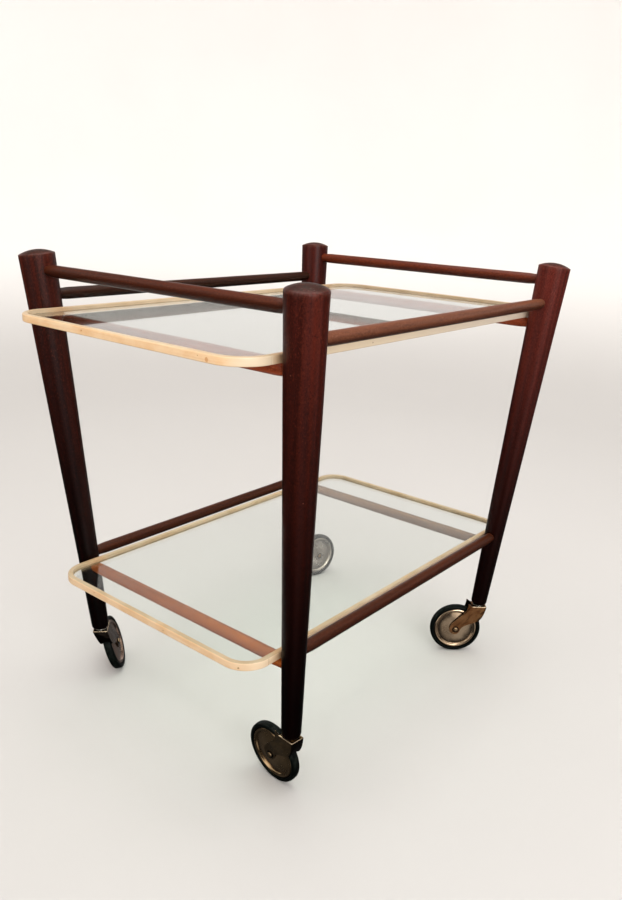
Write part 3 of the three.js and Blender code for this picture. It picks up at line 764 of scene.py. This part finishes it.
# painted highlight for the fork's edges
EDGE_HIGHLIGHT_BRASS = metal("fork_edge_highlight", srgb(196, 174, 146), srgb(156, 134, 106), srgb(104, 84, 60), (0.22, 0.34), seed=5, scale=120, amount=0.6)
RIVET = metal("rivet_brass", srgb(186, 156, 120), srgb(150, 120, 86), srgb(70, 54, 38), (0.28, 0.40), seed=6, scale=160, amount=0.6)
DISCS = {
    c: metal(f"wheel_disc_brass_{c}", bright, dull, srgb(70, 58, 44), rough, seed=7 + n, scale=38, amount=0.85, spots=0.25, turned_lines=0.30, sway=0.6)
    for n, (c, bright, dull, rough) in enumerate((
        ("front_left", srgb(200, 168, 128), srgb(158, 130, 92), (0.13, 0.25)),
        ("front_right", srgb(206, 180, 150), srgb(160, 136, 110), (0.15, 0.27)),
        ("back_left", srgb(190, 162, 146), srgb(148, 124, 110), (0.13, 0.25)),
        ("back_right", srgb(214, 204, 190), srgb(186, 174, 158), (0.26, 0.36)),
    ))
}
STEEL = metal("caster_steel", srgb(186, 182, 172), srgb(130, 124, 114), srgb(66, 58, 50), (0.22, 0.38), seed=8, scale=120, amount=0.6)


def axle_z(c):
    return WHEEL_R * math.cos(c) + 2.8 * abs(math.sin(c))


def fork_outline():
    pts = spline([
        (18.0, 89.8), (18.4, 83.6), (20.2, 77.4), (24.4, 70.8), (29.6, 65.4), (34.2, 60.4), (40.0, 54.4), (44.2, 48.4),
        (45.4, 41.6), (43.2, 35.6), (38.2, 32.2), (32.8, 32.6), (29.0, 36.6), (26.6, 42.8), (21.4, 48.2), (11.0, 52.8),
        (2.6, 56.6), (-3.0, 59.8), (-6.8, 65.4), (-9.4, 72.0), (-11.0, 78.4),
    ], 6)
    plate = [(-12.3, 86.0), (0.0, 86.0), (11.0, 86.0)]
    nose = spline([(11.0, 86.0), (13.6, 87.2), (16.0, 89.0)], 4)[1:]
    lip = [(16.0, 89.0), (16.5, 89.5), (17.2, 89.8)]
    return plate + nose + lip[1:] + pts


def prism(outline, y0, y1):
    """Closed prism along Y from an (x, z) outline."""
    n = len(outline)
    verts = [(x, y0, z) for x, z in outline] + [(x, y1, z) for x, z in outline]
    faces = [(k, (k + 1) % n, n + (k + 1) % n, n + k) for k in range(n)]
    faces += [tuple(range(n))[::-1], tuple(n + k for k in range(n))]
    return verts, faces


def bent_edges(ob, radius, segments, keep, cross=None):
    """Rounds the long edges of a prism where keep(x, z) says so."""
    bm = bmesh.new()
    bm.from_mesh(ob.data)
    bmesh.ops.recalc_face_normals(bm, faces=bm.faces)
    chosen = []
    for e in bm.edges:
        p, q = e.verts[0].co, e.verts[1].co
        along = abs(p.y - q.y) < 1e-6 and keep(p.x, p.z) and keep(q.x, q.z)
        across = cross is not None and abs(p.y - q.y) > 1.0 and cross(p.x, p.z)
        if along or across:
            chosen.append(e)
    bmesh.ops.bevel(bm, geom=chosen, offset=radius, offset_type="OFFSET", segments=segments, profile=0.5, affect="EDGES", clamp_overlap=False)
    bmesh.ops.recalc_face_normals(bm, faces=bm.faces)
    bm.to_mesh(ob.data)
    bm.free()


def fork_mesh(c):
    outer = temp_object(*prism(fork_outline(), -ARM_Y, ARM_Y))
    bent_edges(outer, 1.4, 4, lambda x, z: (x < 11.5 and z > 84.4) or (x < -2.5 and z > 59), lambda x, z: x < -12.2 and z > 85.9)
    hollow = [
        (-10.7, 84.5), (11.0, 84.5), (11.0, 99), (60, 99), (60, -10), (-30, -10), (-30, 64.6), (-4.6, 64.6),
        (-5.4, 66.2), (-7.9, 72.4), (-9.5, 78.6),
    ]
    inner = temp_object(*prism(hollow, -INNER_Y, INNER_Y))
    bent_edges(inner, 0.8, 3, lambda x, z: x < 11.5 and 64.5 < z < 84.6 and x > -11)
    me = subtract(outer, [inner])
    for v in me.vertices:
        drop = FORK_TOP - v.co.z
        y = v.co.y
        if abs(y) > 1e-6:
            # between the arms the pinch grows from nothing at the middle
            share = min(1.0, abs(y) / INNER_Y)
            y -= math.copysign(PINCH * drop * share, y)
        v.co.y = y / math.cos(c) + math.tan(c) * drop
    bent = bpy.data.objects.new("temp_fork", me)
    bpy.context.scene.collection.objects.link(bent)
    at = Matrix.Translation((TRAIL, math.tan(c) * (FORK_TOP - axle_z(c)), axle_z(c))) @ Matrix.Rotation(c - math.pi / 2, 4, "X")
    tools = []
    for rad, half_len, seg in ((WHEEL_R + 1.2, 6.6, 96), (AXLE_R + 0.12, 16, 32)):
        v, f = turned([(0, -half_len), (rad, -half_len), (rad, half_len), (0, half_len)], seg)
        tools.append(temp_object([tuple(at @ Vector(q)) for q in v], f))
    v, f = turned([(0, 82), (4.1, 82), (4.1, 90), (0, 90)], 32)
    tools.append(temp_object(v, f))
    me = subtract(bent, tools)
    me.transform(Matrix.Scale(MM, 4))
    return me


def rivet_profile(h):
    half = [(AXLE_R, h + 0.05), (5.1, h + 0.05), (5.5, h + 0.2), (5.6, h + 0.45), (5.4, h + 0.62), (3.9, h + 0.68), (3.6, h + 0.72), (3.5, h + 0.9)]
    for k in range(1, 9):
        t = math.radians(90 * k / 8)
        half.append((3.5 * math.cos(t) if k < 8 else 0.0, h + 0.9 + 1.0 * math.sin(t)))
    lower = [(r, -z) for r, z in reversed(half)]
    return lower + half


DISC_PROFILE = (
    [(5.2, 6.15), (6.3, 6.2), (6.9, 6.12), (7.3, 5.86), (7.8, 5.74)]
    + spline([(9.0, 5.78), (14.0, 5.66), (18.0, 5.34), (22.0, 4.82), (25.6, 4.14), (28.0, 3.52)], 3)
    + [(28.6, 3.30), (29.0, 3.22), (29.35, 3.42), (29.8, 4.0)]
    + spline([(30.4, 4.7), (31.4, 5.36), (32.8, 5.7), (34.1, 5.3), (35.1, 4.5), (35.7, 3.5)], 3)
    + [(35.8, 3.05), (35.5, 3.0), (29.4, 3.0), (28.4, 2.3), (21.7, 3.8), (13.8, 4.7), (6.2, 5.1), (5.2, 5.2)]
)
TYRE_HALF = [
    (29.8, 2.7), (36.0, 2.7), (36.05, 5.1), (36.3, 5.7), (36.9, 6.0), (38.0, 6.0), (38.9, 5.92), (39.7, 5.62), (40.4, 5.1),
    (40.95, 4.3), (41.3, 3.3), (41.46, 2.2), (41.5, 1.1), (41.5, 0.35), (41.6, 0.12),
]

joints = {j["name"]: j for j in frame["joints"]}
for k, (corner, (sx, sy)) in enumerate(CORNERS.items()):
    c = math.radians(CAMBER[corner])
    base = Matrix.Translation((sx * leg_x(FOOT_Z) * MM, sy * leg_y(FOOT_Z) * MM, 0)) @ Matrix.Rotation(math.radians(HEADING[corner]), 4, "Z")
    wheel = base @ Matrix.Translation((TRAIL * MM, math.tan(c) * (FORK_TOP - axle_z(c)) * MM, axle_z(c) * MM)) @ Matrix.Rotation(c - math.pi / 2, 4, "X")
    roll = joints[f"roll_{corner}"]
    if (wheel.translation - Vector(roll["pos_m"])).length > 2e-4:
        raise SystemExit(f"{corner}: the wheel is not on its axle")
    fork, disc_body, fixed = f"fork_{corner}", f"wheel_{corner}", "frame"

    me = fork_mesh(c)
    ob = finish_piece(f"caster_fork_{corner}_brass", me, [FORKS[corner], EDGE_HIGHLIGHT_BRASS], fork, [f"caster_fork_{corner}"], base, sharp=32)
    # painted highlight: the sheet's edges and the rounded bends of the plate get a brighter brass where they catch the
    # light
    for p in me.polygons:
        x, z = p.center.x / MM, p.center.z / MM
        if abs(p.normal.y) < 0.35 and p.area < 2.2e-5 and (z < 60 or (x > 15 and z < 89)):
            p.material_index = 1
        if z > 83.5 and x < 17 and p.normal.z > 0.2 and p.area < 3e-5 and (abs(p.normal.y) > 0.2 or p.normal.x < -0.2):
            p.material_index = 1

    h = ARM_Y - PINCH * (FORK_TOP - WHEEL_R) + 0.35
    verts, faces = turned(rivet_profile(h), 48)
    ob = piece(f"axle_rivet_{corner}", verts, faces, [FORKS[corner], RIVET], fork, [f"axle_pin_{corner}"], wheel, sharp=30)

    for p in ob.data.polygons:
        if math.hypot(p.center.x, p.center.y) < 3.62 * MM and abs(p.center.z) > (h + 0.7) * MM:
            p.material_index = 1

    ring = [(4.25, 86.35), (8.5, 86.35), (9.0, 86.5), (9.2, 86.8), (9.05, 87.1), (8.7, 87.2), (4.25, 87.2)]
    verts, faces = turned(ring, 48, ring=True)
    piece(f"thrust_washer_{corner}_steel", verts, faces, STEEL, fixed, [f"thrust_washer_{corner}"], base, sharp=30)

    for side, s in (("near", 1), ("far", -1)):
        verts, faces = turned([(r, s * y) for r, y in DISC_PROFILE], 96, ring=True)
        piece(f"wheel_disc_{side}_{corner}_brass", verts, faces, DISCS[corner], disc_body, [f"wheel_disc_{side}_{corner}"], wheel, sharp=36)

    loop = TYRE_HALF + [(r, -y) for r, y in reversed(TYRE_HALF)]
    verts, faces = turned(loop, 96, ring=True)
    piece(f"tyre_{corner}_rubber", verts, faces, rubber_material(f"tyre_rubber_{corner}", k), disc_body, [f"tyre_{corner}"], wheel, sharp=36)

    for name in (f"caster_sleeve_{corner}", f"caster_stem_{corner}", f"hub_bush_{corner}"):
        for slot in frame["nodes"][name].material_slots:
            slot.material = STEEL


# ------------------------------------------------------- floor, light, camera
def stage_material():
    g = Graph("studio_paper")
    x, y, z = g.xyz()
    up = g.ramp(z, 0.0, 0.45)
    soft = g.noise(g.mapped(scale=(1.2, 1.2, 1.2)), 1.0, 2.0, 0.5)
    colour = g.mix(up, srgb(204, 201, 198), srgb(253, 250, 247))
    colour = g.mix(g.ramp(soft, 0.3, 0.7, 0.0, 0.06), colour, srgb(190, 187, 184))
    g.principled(Base_Color=colour, Roughness=0.85, Specular_IOR_Level=0.1)
    return g.mat


bowl = [(0, 0)] + [(r, 0) for r in (400, 900, 1500, 1800)] + arc(1800, 1900, 1900, -90, 0, 28)[1:] + [(3700, 2600), (3700, 3400)]
verts, faces = turned(bowl, 128)
floor = piece("studio_floor", verts, faces, stage_material(), None, closed=False, sharp=180)
floor.data.flip_normals()
floor.visible_glossy = False

world = bpy.data.worlds.new("studio")
bpy.context.scene.world = world
world.use_nodes = True
g = Graph.__new__(Graph)
g.nt = world.node_tree
g.nt.nodes.clear()
# light all round; reflections see a bright wall behind, soft windows and a dark floor
way = g.nt.nodes.new("ShaderNodeTexCoord").outputs["Generated"]
wx, wy, wz = g.xyz(way)


def lobe(azimuth, elevation, inner, outer):
    """1 within `inner` degrees of a direction, falling to 0 at `outer`."""
    a, e = math.radians(azimuth), math.radians(elevation)
    n = g.node("ShaderNodeVectorMath", operation="DOT_PRODUCT")
    g.put(n.inputs[0], way)
    g.put(n.inputs[1], (math.cos(a) * math.cos(e), math.sin(a) * math.cos(e), math.sin(e)))
    return g.ramp(n.outputs["Value"], math.cos(math.radians(outer)), math.cos(math.radians(inner)))


facing = g.node("ShaderNodeVectorMath", operation="DOT_PRODUCT")
g.put(facing.inputs[0], way)
g.put(facing.inputs[1], (0.778, 0.629, 0.0))
wall = g.math("MULTIPLY", g.ramp(facing.outputs["Value"], -0.05, 0.55), g.ramp(wz, -0.04, 0.02))
low_wall = g.math("MULTIPLY", wall, g.ramp(wz, 0.20, 0.50, 1.0, 0.25))
upper = g.math("MULTIPLY", g.ramp(facing.outputs["Value"], 0.15, 0.50, 1.0, 0.0), g.ramp(wz, 0.22, 0.45))
level = g.sum(
    (low_wall, 0.72), (upper, 0.85), (1.0, 0.014), (g.ramp(wz, 0.0, -0.35), 0.018),
    (lobe(247, 4, 11, 30), 1.2), (lobe(170, 5, 9, 26), 1.1), (lobe(232, -29, 13, 25), 0.36),
    (lobe(128, -40, 12, 30), 0.035), (lobe(10, -18, 10, 34), 0.10), (lobe(296, -17, 10, 21), 0.5),
)
open_sky = g.node("ShaderNodeBackground", {"Color": (1.0, 0.985, 0.97, 1.0), "Strength": 0.75})
seen = g.node("ShaderNodeBackground", {"Color": (1.0, 0.975, 0.95, 1.0), "Strength": level})
rays = g.node("ShaderNodeLightPath")
which_sky = g.node("ShaderNodeMixShader")
g.put(which_sky.inputs[0], rays.outputs["Is Glossy Ray"])
g.nt.links.new(open_sky.outputs[0], which_sky.inputs[1])
g.nt.links.new(seen.outputs[0], which_sky.inputs[2])
sky_out = g.node("ShaderNodeOutputWorld")
g.nt.links.new(which_sky.outputs[0], sky_out.inputs["Surface"])


def softbox(name, at, target, width, height, power, colour=(1, 1, 1)):
    light = bpy.data.lights.new(name, "AREA")
    light.shape, light.size, light.size_y = "RECTANGLE", width, height
    light.energy, light.color = power, colour
    ob = bpy.data.objects.new(name, light)
    bpy.context.scene.collection.objects.link(ob)
    ob.location = at
    ob.rotation_mode = "QUATERNION"
    ob.rotation_quaternion = (Vector(target) - Vector(at)).to_track_quat("-Z", "Y")
    return ob


softbox("overhead", (0.0, 0.0, 2.9), (0, 0, 0), 2.8, 2.8, 55, (1.0, 0.985, 0.96))
softbox("window", (-1.25, -2.55, 1.75), (0, 0, 0.45), 1.5, 1.5, 34, (0.96, 0.98, 1.0))

yaw, pitch, roll = 0.6813, 0.3014, 0.0419
look = Vector((math.cos(yaw) * math.cos(pitch), math.sin(yaw) * math.cos(pitch), -math.sin(pitch)))
right = Vector((math.sin(yaw), -math.cos(yaw), 0))
up = right.cross(look)
right, up = math.cos(roll) * right + math.sin(roll) * up, -math.sin(roll) * right + math.cos(roll) * up
camera = bpy.data.cameras.new("camera")
camera.sensor_width, camera.sensor_fit = 36.0, "AUTO"
camera.lens = 815.83 / 900 * 36.0
camera.clip_start, camera.clip_end = 0.05, 50.0
eye = bpy.data.objects.new("camera", camera)
bpy.context.scene.collection.objects.link(eye)
eye.matrix_world = frame_matrix((-0.89578, -0.73813, 0.72264), right, up, -look)
bpy.context.scene.camera = eye
bpy.context.scene.view_settings.view_transform = "Standard"

bpy.context.view_layer.update()
